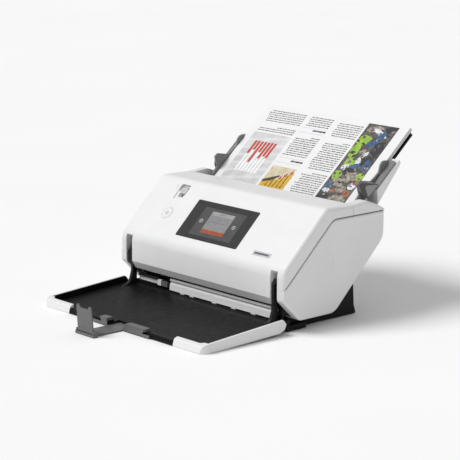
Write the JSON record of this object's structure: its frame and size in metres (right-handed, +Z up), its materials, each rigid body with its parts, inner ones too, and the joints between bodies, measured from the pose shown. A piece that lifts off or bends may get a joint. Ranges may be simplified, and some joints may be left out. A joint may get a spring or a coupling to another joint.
{
  "type": "sheet fed document scanner",
  "caption": "White desktop sheet-fed scanner: rear input tray with edge guides, opening upper unit with tilted touch panel, front output tray with pull-out stopper, on a dark stand.",
  "frame": {"origin": "on the table, under the middle of the whole object's box", "axes": "+X to the machine's right as seen from its front, +Y to the back, where the sheets go in, +Z up"},
  "size_m": [0.431, 0.5829, 0.3112],
  "materials": {
    "white_shell": "fine moulded grain",
    "dark_plastic": "fine moulded grain",
    "grey_plastic": "satin",
    "pale_plastic": "satin",
    "bezel_plastic": "satin gloss",
    "screen": "lit display under a clear cover",
    "sensor_glass": "polished",
    "steel": "zinc plated",
    "rubber": "ground",
    "circuit_board": "solder mask",
    "label_metal": "brushed",
    "paper": "coated magazine paper"
  },
  "bodies": {
    "root": {"base_stand": "dark_plastic", "rubber_feet": "rubber", "bottom_cover": "white_shell", "rear_cover": "white_shell", "rear_top_cover": "white_shell", "rear_screws": "steel", "left_side_panel": "white_shell", "right_side_panel": "white_shell", "side_plugs": "white_shell", "lower_chassis": "steel", "shaft_bushings": "grey_plastic", "main_board": "circuit_board", "lower_paper_guide": "dark_plastic", "exit_guide": "pale_plastic", "power_inlet": "dark_plastic", "usb_port": "steel", "drive_belt": "dark_plastic", "cover_hinge_pins": "steel", "slot_posts": "dark_plastic", "lower_scan_sensor": "dark_plastic", "lower_scan_glass": "sensor_glass", "feed_motor": "steel", "input_tray": "white_shell"},
    "upper_unit": {"front_cover": "white_shell", "control_panel": "bezel_plastic", "display_screen": "screen", "panel_board": "circuit_board", "label_plate": "label_metal", "upper_chassis": "steel", "upper_paper_guide": "grey_plastic", "mouth_panel": "dark_plastic", "upper_scan_sensor": "dark_plastic", "upper_scan_glass": "sensor_glass"},
    "power_button": {"power_button": "white_shell"},
    "separation_lever": {"separation_lever": "grey_plastic"},
    "separation_roller": {"separation_shaft": "steel", "separation_roller": "rubber"},
    "transport_pinch": {"transport_pinch_shaft": "steel", "transport_pinch_rollers": "rubber"},
    "exit_pinch": {"exit_pinch_shaft": "steel", "exit_pinch_rollers": "rubber"},
    "feed_roller": {"feed_shaft": "steel", "feed_rollers": "rubber"},
    "transport_roller": {"transport_shaft": "steel", "transport_rollers": "rubber"},
    "exit_roller": {"exit_shaft": "steel", "exit_rollers": "rubber"},
    "motor_rotor": {"motor_pulley": "grey_plastic"},
    "tray_carrier": {"tray_arms": "grey_plastic", "tray_pins": "steel"},
    "output_tray": {"output_tray_pan": "dark_plastic", "tray_side_trim": "white_shell", "extension_blocks": "grey_plastic"},
    "output_extension": {"output_extension": "grey_plastic"},
    "stopper": {"stopper_flap": "grey_plastic"},
    "left_guide": {"left_edge_guide": "grey_plastic"},
    "right_guide": {"right_edge_guide": "grey_plastic"},
    "guide_pinion": {"guide_pinion": "grey_plastic"},
    "input_extension": {"input_extension": "dark_plastic"},
    "paper_stack": {"paper_stack": "paper"}
  },
  "joints": [
    {"name": "cover_open", "type": "hinge", "parent": "root", "child": "upper_unit", "pos_m": [0, -0.03431, 0.06], "axis": [1, 0, 0], "range_deg": [0, 50]},
    {"name": "power_press", "type": "slide", "parent": "upper_unit", "child": "power_button", "axis": [0, 0.6934, -0.7206], "range_m": [0, 0.0012], "stiffness_N_per_m": 600, "springref_m": -0.001},
    {"name": "separation_slide", "type": "slide", "parent": "upper_unit", "child": "separation_lever", "axis": [0, 0.7206, 0.6934], "range_m": [-0.006, 0.005]},
    {"name": "separation_spin", "type": "hinge", "parent": "upper_unit", "child": "separation_roller", "pos_m": [0, 0.07936, 0.13603], "axis": [1, 0, 0], "continuous": true},
    {"name": "transport_pinch_spin", "type": "hinge", "parent": "upper_unit", "child": "transport_pinch", "pos_m": [0, 0.05482, 0.1123], "axis": [1, 0, 0], "continuous": true},
    {"name": "exit_pinch_spin", "type": "hinge", "parent": "upper_unit", "child": "exit_pinch", "pos_m": [0, -0.01667, 0.05441], "axis": [1, 0, 0], "continuous": true},
    {"name": "transport_spin", "type": "hinge", "parent": "root", "child": "transport_roller", "pos_m": [0, 0.06452, 0.10033], "axis": [1, 0, 0], "continuous": true},
    {"name": "feed_spin", "type": "hinge", "parent": "root", "child": "feed_roller", "pos_m": [0, 0.09094, 0.12173], "axis": [1, 0, 0], "continuous": true},
    {"name": "exit_spin", "type": "hinge", "parent": "root", "child": "exit_roller", "pos_m": [0, -0.00698, 0.04244], "axis": [1, 0, 0], "continuous": true},
    {"name": "motor_spin", "type": "hinge", "parent": "root", "child": "motor_rotor", "pos_m": [0, 0.07969, 0.068], "axis": [1, 0, 0], "continuous": true},
    {"name": "tray_height", "type": "slide", "parent": "root", "child": "tray_carrier", "axis": [0, 0, 1], "range_m": [0, 0.008]},
    {"name": "tray_fold", "type": "hinge", "parent": "tray_carrier", "child": "output_tray", "pos_m": [0, -0.05231, 0.0115], "axis": [1, 0, 0], "range_deg": [-72, 0]},
    {"name": "extension_slide", "type": "slide", "parent": "output_tray", "child": "output_extension", "axis": [0, -1, 0], "range_m": [-0.054, 0]},
    {"name": "stopper_fold", "type": "hinge", "parent": "output_extension", "child": "stopper", "pos_m": [0, -0.28731, 0.0074], "axis": [-1, 0, 0], "range_deg": [0, 88]},
    {"name": "right_guide_slide", "type": "slide", "parent": "root", "child": "right_guide", "axis": [1, 0, 0], "range_m": [0, 0.006]},
    {"name": "left_guide_slide", "type": "slide", "parent": "root", "child": "left_guide", "axis": [-1, 0, 0], "range_m": [0, 0.006]},
    {"name": "pinion_spin", "type": "hinge", "parent": "root", "child": "guide_pinion", "pos_m": [0, 0.19365, 0.22165], "axis": [0, -0.6528, 0.7576], "range_deg": [-60, 60]},
    {"name": "input_extension_slide", "type": "slide", "parent": "root", "child": "input_extension", "axis": [0, 0.7576, 0.6528], "range_m": [-0.04, 0]},
    {"name": "stack_lift", "type": "slide", "parent": "root", "child": "paper_stack", "axis": [0, 0.7576, 0.6528], "range_m": [0, 0.12]}
  ],
  "couplings": [
    {"joint": "feed_spin", "follows": "transport_spin", "ratio": 1},
    {"joint": "exit_spin", "follows": "transport_spin", "ratio": 1},
    {"joint": "motor_spin", "follows": "transport_spin", "ratio": 1},
    {"joint": "left_guide_slide", "follows": "right_guide_slide", "ratio": 1},
    {"joint": "pinion_spin", "follows": "right_guide_slide", "rad_per_m": -133.33}
  ]
}
